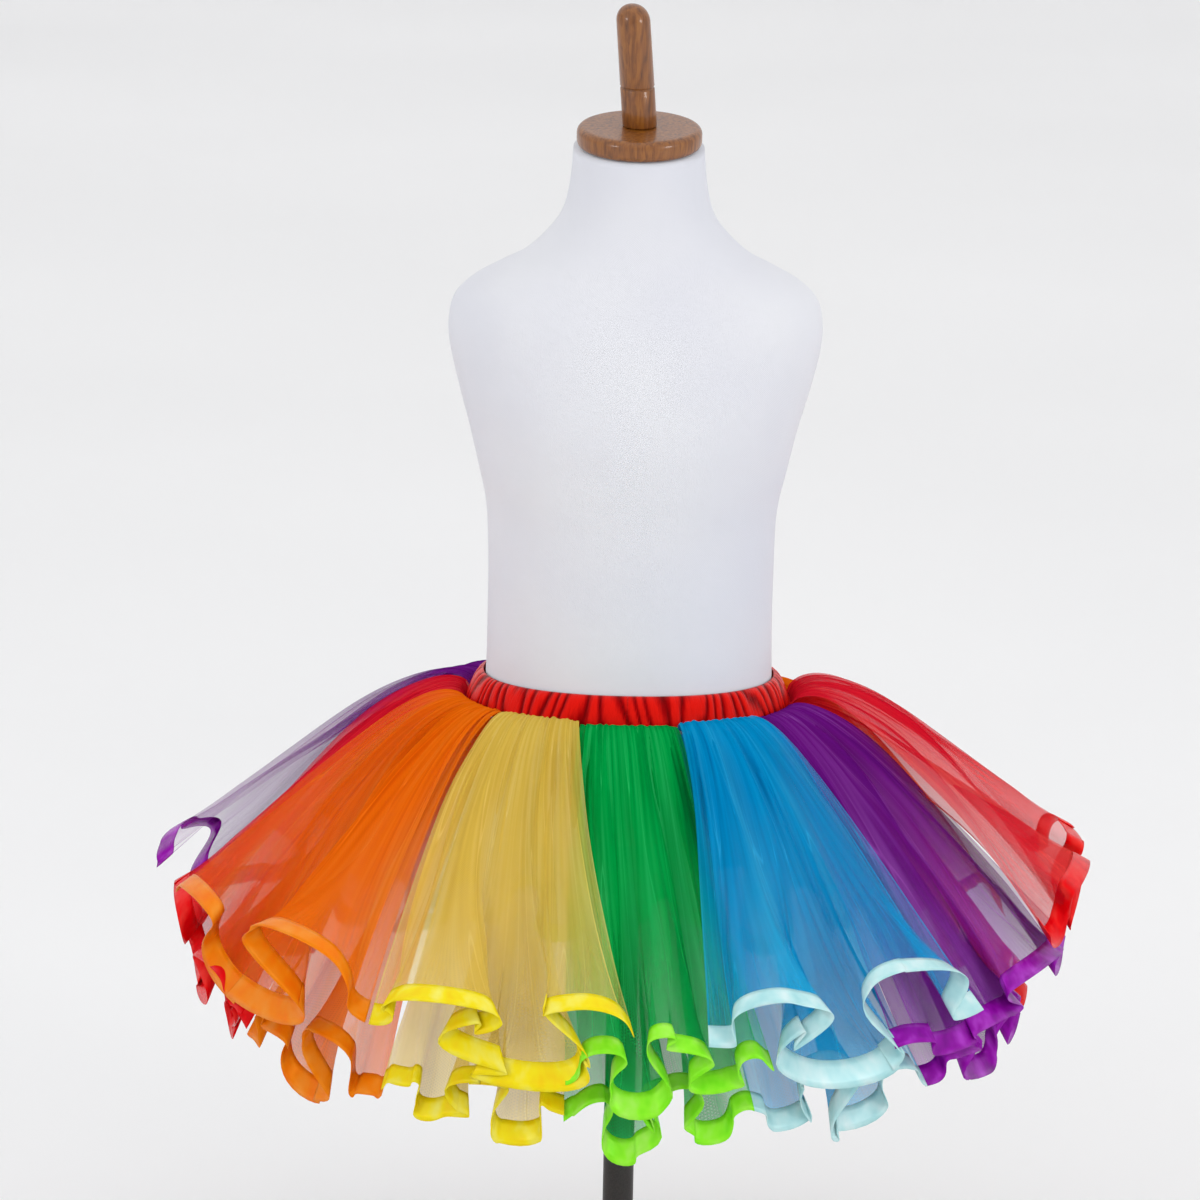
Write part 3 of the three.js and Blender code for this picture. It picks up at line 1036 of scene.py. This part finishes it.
    def covering(
        self, panel: Panel, ply: Ply, across: np.ndarray, fall: np.ndarray, crest: np.ndarray
    ) -> np.ndarray:
        """Works out how much the threads cover: bunched at the waist, spread thin at the hem.

        Args:
            panel: the outer panel.
            ply: which ply.
            across: 0 to 1 from its left edge to its right.
            fall: 0 to 1 from the waist to the hem.
            crest: how high each point is on its fold, from 0 to 1.

        Returns:
            A share from 0 to 1 for each point.
        """
        places, shares = zip(*self.cover_down)
        share = np.interp(fall, places, shares)
        if ply is Ply.OUTER:
            inset = np.clip(np.minimum(across, 1 - across) / 0.25, 0, 1)
            share = share * (1 - self.edge_thin * (1 - inset) * np.clip(fall / 0.2, 0, 1))
        if ply is Ply.INNER:
            share = share + self.inner_dense * fall
        gathered = np.clip(1 - fall / 0.25, 0, 1)
        left, right = panel.sheer
        sheer = left + (right - left) * across
        share = share * (sheer + (1 - sheer) * gathered)
        return share + self.valley_dense * (0.5 - crest) * (1 - gathered)

    def inset(self, ply: Ply) -> float:
        """Says how far a ply's side edges lie inside the panel's, as a share of its width."""
        return {Ply.OUTER: 0.0, Ply.SECOND: 0.07, Ply.INNER: -self.inner_lap}[ply]

    def make_ply(
        self, panel: Panel, ply: Ply
    ) -> tuple[bpy.types.Object, tuple[float, float], float]:
        """Makes one ply of a panel.

        Args:
            panel: the outer panel.
            ply: which ply.

        Returns:
            The sheet of net, the length of its hem and of its fall, and its mean width.
        """
        hung = self.settled(panel, ply)
        rows, columns = self.rows[ply], self.columns[ply]
        steps = np.linspace(0, 1, rows) ** 1.15
        inset = self.inset(ply)
        fall, across = np.meshgrid(steps, np.linspace(inset, 1 - inset, columns), indexing="ij")
        points = self.hang(hung, ply, across, fall)
        widths = run_lengths(points, 1)
        hem_length = float(widths[-1])
        mean_width = float(((widths[1:] + widths[:-1]) / 2 * np.diff(steps)).sum())
        fall_length = float(run_lengths(points, 0).mean())
        normals = normals_of(points)
        stand, crest = self.creases(hung, ply, across, fall)
        if ply is Ply.SECOND:
            under = np.sin(math.pi * np.clip(fall, 0, 1)) ** 0.5 * self.freedom(fall)
            stand = stand - self.second_under * under
        points = points + normals * stand[..., None]
        shift = 0.613 * panel.number + 0.211 * list(Ply).index(ply)
        cloth = np.stack([across * hem_length + shift, fall * fall_length], -1)
        node = f"inner_tulle_{panel.tag}" if ply is Ply.INNER else f"outer_tulle_{panel.tag}"
        made = make_piece(
            f"{ply.value}_net_{panel.tag}",
            points,
            grid_faces(rows, columns),
            self.nets[panel.hue],
            [node],
            cloth,
            {
                "cover": self.covering(hung, ply, across, fall, crest),
                # tone: painted shade in the valleys of the folds, painted highlight on their crests,
                # and lighter towards the hem
                "tone": 0.5 + (0.3 + 0.4 * fall) * (crest - 0.5) + 0.15 * (fall - 0.4),
                "side": np.broadcast_to(np.linspace(0, 1, columns), fall.shape),
            },
        )
        return made, (hem_length, fall_length), mean_width

    def make_ribbon(self, panel: Panel, ply: Ply) -> bpy.types.Object:
        """Makes the ribbon on a ply's hem.

        Args:
            panel: the outer panel.
            ply: the outer or the inner ply.

        Returns:
            The ribbon, a closed strip that covers both faces of the hem.
        """
        hung = self.settled(panel, ply)
        columns = self.columns[ply]
        length = sum(math.hypot(side.reach, side.drop) for side in (hung.left, hung.right)) / 2
        top = 1 - self.ribbon_width / length
        inset = self.inset(ply)
        fall, across = np.meshgrid(
            np.linspace(top, self.ribbon_end, 5), np.linspace(inset, 1 - inset, columns),
            indexing="ij",
        )
        points = self.hang(hung, ply, across, fall)
        run = np.concatenate([[0], np.cumsum(np.linalg.norm(np.diff(points[2], axis=0), axis=-1))])
        normals = normals_of(points)
        crown = self.ribbon_half * np.array([0.5, 1, 1, 1, 0.5])[:, None, None]
        ring = np.concatenate([points + normals * crown, (points - normals * crown)[::-1]])
        width = np.linspace(0, self.ribbon_width, 5)
        around = np.concatenate([width, width[::-1]])
        cloth = np.stack(np.broadcast_arrays(run[None, :], around[:, None]), -1)
        count = len(ring)
        faces = [f[1:] + f[:1] for f in grid_faces(count, columns, round_columns=True)]
        faces.append(tuple(r * columns for r in range(count)))
        faces.append(tuple(r * columns + columns - 1 for r in range(count - 1, -1, -1)))
        kind = "inner" if ply is Ply.INNER else "outer"
        return make_piece(
            f"{kind}_hem_{panel.tag}", ring, faces, self.ribbons[panel.hue],
            [f"{kind}_ribbon_{panel.tag}"], cloth,
        )

    def build(self) -> None:
        """Builds every ply and ribbon."""
        self.nets = {hue: NylonTulle(hue, *colours).make() for hue, colours in NETS.items()}
        self.ribbons = {hue: SatinRibbon(hue, *colours).make() for hue, colours in RIBBONS.items()}
        for panel in OUTER_PANELS:
            for ply in Ply:
                net, flat, mean_width = self.make_ply(panel, ply)
                hems = [] if ply is Ply.SECOND else [self.make_ribbon(panel, ply)]


@dataclass
class Waistband:
    """The wide elastic with its cover of gathered satin."""

    height: float = 21 * MM
    low: float = -12.5 * MM  # where its lower edge is, above the waist
    wall: float = 2.2 * MM
    top: tuple[float, float] = (104.6 * MM, 78.1 * MM)  # half width and depth inside
    bottom: tuple[float, float] = (113.6 * MM, 87.0 * MM)
    columns: int = 720
    gathers: int = 64
    gather: float = 1.0 * MM  # half the height of the gathers
    slant: float = 4.5  # how far a gather leans between the two edges, in radians of its wave
    puff: float = 1.0 * MM  # how far the satin stands out between its two edges
    scallop: float = 1.6 * MM  # how unevenly the lower edge hangs
    scallops: tuple[int, ...] = (9, 16, 27)  # round the body
    # What makes the gathers uneven: how many crowds go round the body, and how tight they are.
    crowding: tuple[tuple[int, float], ...] = ((11, 2.2), (26, 1.4))
    slants: int = 7  # how often the gathers' lean comes and goes round the body
    cut: tuple[float, float] = (0.74, 0.029)  # the satin before it was gathered

    def build(self) -> None:
        """Builds the band."""
        luck = np.random.default_rng(7)
        angle = np.linspace(0, 360, self.columns, endpoint=False)
        place = angle / 360
        starts = luck.uniform(0, 2 * math.pi, 4)
        hang = np.zeros_like(place)
        for count in self.scallops:
            wave = np.sin(2 * math.pi * count * place + luck.uniform(0, 2 * math.pi))
            hang += wave / len(self.scallops)
        outside = [(1.0, 0.15), (0.96, 0.6), (0.86, 0.9), (0.7, 1), (0.5, 1), (0.3, 1)]
        outside += [(0.14, 1), (0.05, 0.9), (0.0, 0.5)]
        inside = [(0.0, 0.0), (0.1, 0.0), (0.5, 0.0), (0.9, 0.0), (1.0, 0.0)]
        rings, crests, cloth = [], [], []
        for index, (up, share) in enumerate(outside + inside):
            outer = index < len(outside)
            half = [b + (t - b) * up for t, b in zip(self.top, self.bottom)]
            base, out = oval(angle, *half)
            phase = 2 * math.pi * self.gathers * place + starts[0]
            for start, (count, depth) in zip(starts[1:], self.crowding):
                phase = phase + depth * np.sin(2 * math.pi * count * place + start)
            slant = np.sin(2 * math.pi * self.slants * place + starts[3])
            phase = phase + self.slant * (up - 0.5) * slant
            wave = 2 * np.abs(np.sin(phase / 2)) ** 0.7 - 1  # round crests, sharp valleys
            stand = self.wall * max(share, 0.15) if outer else 0.0
            if outer:
                stand = stand + share * (self.gather * wave + self.gather * 0.6)
                stand = stand + self.puff * math.sin(math.pi * up)
            ring = base + out * np.broadcast_to(stand, angle.shape)[:, None]
            sag = (1 - up) * self.scallop * (hang - 0.4)
            ring[:, 2] += WAIST_UP + self.low + up * self.height + sag
            rings.append(ring)
            # How high each point is on its gather, which paints the satin: painted shade in the
            # valleys, painted highlight on the crests, weaker inside the band.
            crests.append(0.5 + 0.5 * np.clip(1.15 * wave, -1, 1) * (1.0 if outer else 0.4))
            cloth.append(np.stack([place * self.cut[0], np.full_like(place, up * self.height)], -1))
        made = make_piece(
            "waistband_satin", np.array(rings),
            [f[::-1] for f in grid_faces(len(rings), self.columns, True, True)],
            WaistSatin().make(), ["waistband"], np.array(cloth),
            {"crease": np.array(crests)},
        )


# ------------------------------------------------------------------------------- the dress form


@dataclass
class DressForm:
    """The limbless child's torso, its wooden neck cap and peg, and the stand."""

    columns: int = 192
    steps: int = 7  # rings between two sections
    # Above the waist in mm, half the width, half the depth, and the tilt in degrees.
    sections: tuple[tuple[float, float, float, float], ...] = (
        (-112, 46, 34, 0),
        (-106, 82, 62, 0),
        (-92, 103, 80, 0),
        (-62, 112, 86, 0),
        (-22, 105, 79, 0),
        (13, 103, 76.5, 0),
        (60, 102.4, 76, 0),
        (111, 103, 77, 0),
        (135, 105, 79, 0),
        (158, 110, 82, 0),
        (188, 117, 85, 0),
        (217, 125, 84, 0),
        (247, 132, 80, 0),
        (266, 133, 76, 0),
        (282, 129, 70, 1),
        (294, 117, 64, 2),
        (304, 99, 58, 3),
        (313, 81, 54, 4),
        (328, 64, 50, 5),
        (343, 53.6, 47, 6),
        (364, 48.6, 45.5, 8),
        (389, 46.4, 44.4, 8),
    )
    neck_tilt: float = 8.0
    neck_up: float = 389 * MM
    cap_radius: float = 44.4 * MM
    cap_height: float = 15 * MM
    cap_round: float = 5 * MM
    peg_radius: float = 12.2 * MM
    peg_height: float = 88 * MM
    peg_lean: float = 4.5
    base_radius: float = 140 * MM
    base_height: float = 8 * MM
    pole_radius: float = 11.25 * MM
    pole_top: float = 407.7 * MM
    wrinkle: float = 0.5 * MM  # how far the jersey's soft wrinkles stand out
    neck_bend: float = 318  # mm above the waist, where the wrinkles are deepest
    jersey_round: float = 0.66  # the jersey's width round the body
    cap_gap: float = 0.6 * MM  # between the neck and its cap
    part_gap: float = 0.3 * MM  # below the peg and the pole

    def rounded(self, radius: float, height: float, edge: float) -> list[tuple[float, float]]:
        """Gives the outline of a disc with round edges.

        Args:
            radius: its radius.
            height: its height.
            edge: the radius of its edges.

        Returns:
            Heights and radii, from the bottom up.
        """
        turns = [math.radians(a) for a in range(0, 91, 15)]
        low = [(edge - edge * math.cos(a), radius - edge + edge * math.sin(a)) for a in turns]
        high = [
            (height - edge + edge * math.sin(a), radius - edge + edge * math.cos(a)) for a in turns
        ]
        return [(0.0, radius - 2 * edge), *low, *high, (height, radius - 2 * edge)]

    def tilt(self, points: np.ndarray) -> np.ndarray:
        """Sets points of the neck cap and peg on the tilted neck.

        Args:
            points: the points in the neck's own frame.

        Returns:
            The points in the object's frame.
        """
        turn = math.radians(self.neck_tilt)
        y, z = points[..., 1], points[..., 2]
        made = points.copy()
        made[..., 1] = y * math.cos(turn) - z * math.sin(turn)
        made[..., 2] = y * math.sin(turn) + z * math.cos(turn)
        made[..., 2] += WAIST_UP + self.neck_up + self.cap_gap
        return made

    def build_torso(self) -> None:
        """Builds the torso with its stretched jersey."""
        table = smooth_rows(np.array(self.sections, float), self.steps)
        angle = np.linspace(180, 540, self.columns, endpoint=False)  # its seam is at the back
        rings, cloth = [], []
        for up, half_width, half_depth, tilt in table:
            ring, out = oval(angle, half_width * MM, half_depth * MM)
            waves = np.sin(np.radians(3 * angle) + up / 31)
            waves *= np.sin(np.radians(angle * 2) + up / 17)
            neck = math.exp(-(((up - self.neck_bend) / 26) ** 2))
            ring += out * (waves * self.wrinkle * (0.35 + neck))[:, None]
            ring[:, 2] += WAIST_UP + up * MM + ring[:, 1] * math.tan(math.radians(tilt))
            rings.append(ring)
            run = (angle / 360 - 0.5) * self.jersey_round
            cloth.append(np.stack([run, np.full_like(angle, up * MM)], -1))
        make_piece(
            "form_torso", np.array(rings), ring_faces(len(rings), self.columns),
            CottonJersey().make(), ["torso"], np.array(cloth),
        )

    def build_cap(self, wood: bpy.types.Material) -> None:
        """Builds the neck cap and its peg.

        Args:
            wood: their varnished wood.
        """
        rings, faces = lathe(self.rounded(self.cap_radius, self.cap_height, self.cap_round))
        make_piece("wooden_neck_cap", self.tilt(rings), faces, wood, ["neck_cap"])
        r = self.peg_radius
        shape = [
            (0, r - 0.9 * MM),
            (0.4 * MM, r - 0.3 * MM),
            (1.2 * MM, r),
            (27.3 * MM, r),
            (27.9 * MM, r - 0.3 * MM),
            (28.2 * MM, r - 1.1 * MM),
            (28.9 * MM, r - 1.1 * MM),
            (29.2 * MM, r - 0.3 * MM),
            (29.8 * MM, r),
        ]
        dome = 12.4 * MM  # the height of the round top
        for turn in range(0, 86, 6):
            a = math.radians(turn)
            up = self.peg_height - dome + dome * math.sin(a)
            shape.append((up, (r - 0.2 * MM) * math.cos(a) ** 0.9))
        rings, faces = lathe(shape, 64)
        rings[..., 0] -= rings[..., 2] * math.tan(math.radians(self.peg_lean))
        rings[..., 2] += self.cap_height + self.part_gap
        make_piece("wooden_peg", self.tilt(rings), faces, wood, ["handle_peg"])

    def build_stand(self, steel: bpy.types.Material) -> None:
        """Builds the base plate and the pole.

        Args:
            steel: their coated steel.
        """
        rings, faces = lathe(self.rounded(self.base_radius, self.base_height, 2.8 * MM), 160)
        make_piece("steel_base", rings, faces, steel, ["base_plate"])
        low = self.base_height + self.part_gap
        outline = [(low, self.pole_radius - 0.4 * MM), (low + 0.4 * MM, self.pole_radius)]
        outline += [(low + (self.pole_top - low) * i / 8, self.pole_radius) for i in range(1, 8)]
        outline += [
            (self.pole_top - 0.4 * MM, self.pole_radius),
            (self.pole_top, self.pole_radius - 0.4 * MM),
        ]
        rings, faces = lathe(outline, 72)
        make_piece("steel_pole", rings, faces, steel, ["pole"])

    def build(self) -> None:
        """Builds the form from the neck down."""
        self.build_torso()
        self.build_cap(VarnishedBeech().make())
        self.build_stand(PowderCoatedSteel().make())


# --------------------------------------------------------------------------------- the studio


@dataclass
class Studio:
    """The floor, the lamps and the camera."""

    elevation: float = 13.0  # the camera looks down by this many degrees
    roll: float = 1.1
    distance: float = 4.0
    target: tuple[float, float, float] = (-0.0216, 0.0, 0.58)
    lens: float = 36 * 5555 / 1200  # millimetres on a 36 mm sensor
    floor_radius: float = 14.0
    floor_down: float = 0.0005  # how far the paper lies under the stand

    def set_camera(self) -> None:
        """Sets up the camera."""
        data = bpy.data.cameras.new("camera")
        data.sensor_width = 36
        data.lens = self.lens
        data.clip_end = 60
        camera = new_object("camera", data)
        tilt = math.radians(self.elevation)
        back = Vector((0, -math.cos(tilt), math.sin(tilt)))
        place = Vector(self.target) + back * self.distance
        turn = (-back).to_track_quat("-Z", "Y").to_matrix().to_4x4()
        camera.matrix_world = (
            Matrix.Translation(place) @ turn @ Matrix.Rotation(math.radians(self.roll), 4, "Z")
        )
        bpy.context.scene.camera = camera

    def lay_floor(self) -> None:
        """Lays the seamless paper, a wide floor that curves up far from the object."""
        outline = [(0.0, r) for r in (0.02, 1, 3, 6, 9)]
        for turn in range(10, 91, 10):
            a = math.radians(turn)
            outline.append((4 * (1 - math.cos(a)), 9 + 4 * math.sin(a)))
        outline.append((7.0, self.floor_radius - 1))
        points, faces = lathe([(z - self.floor_down, r) for z, r in outline])
        mesh = bpy.data.meshes.new("studio_floor")
        mesh.from_pydata(points.reshape(-1, 3).tolist(), [], faces[:-1])  # open at the top
        mesh.polygons.foreach_set("use_smooth", [True] * len(mesh.polygons))
        mesh.materials.append(StudioPaper().make())
        new_object("studio_floor", mesh)

    def hang_lamps(self) -> None:
        """Hangs the soft lamps: one at each side of the front and a weak one above."""
        for name, place, size, watts in (
            ("lamp_left", (-2.2, -2.2, 1.5), 0.7, 13),
            ("lamp_right", (2.4, -1.8, 1.3), 0.7, 17),
            ("lamp_above", (0.0, -0.6, 3.4), 1.2, 1.0),
        ):
            data = bpy.data.lights.new(name, "AREA")
            data.shape = "SQUARE"
            data.size = size
            data.energy = watts
            lamp = new_object(name, data)
            aim = Vector((0, 0, 0.55)) - Vector(place)
            lamp.location = place
            lamp.rotation_euler = aim.to_track_quat("-Z", "Y").to_euler()
        world = bpy.data.worlds.new("studio_air")
        world.use_nodes = True
        air = world.node_tree.nodes["Background"]
        air.inputs["Color"].default_value = linear("#FFFFFF")
        air.inputs["Strength"].default_value = 1.0
        bpy.context.scene.world = world

    def set_colours(self) -> None:
        """Shows colours as they are, and lets light through all the plies of net."""
        scene = bpy.context.scene
        scene.view_settings.view_transform = "Standard"
        scene.cycles.transparent_max_bounces = 20
        scene.cycles.max_bounces = 3
        scene.cycles.diffuse_bounces = 2
        scene.cycles.light_sampling_threshold = 0.05

    def build(self) -> None:
        """Sets up the studio."""
        self.set_camera()
        self.lay_floor()
        self.hang_lamps()
        self.set_colours()


def main() -> None:
    """Builds the studio, the dress form and the tutu, and reports each piece."""
    logging.basicConfig(level=logging.INFO, format="%(name)s: %(message)s")
    Studio().build()
    DressForm().build()
    Waistband().build()
    Skirt().build()


if __name__ == "__main__":
    main()
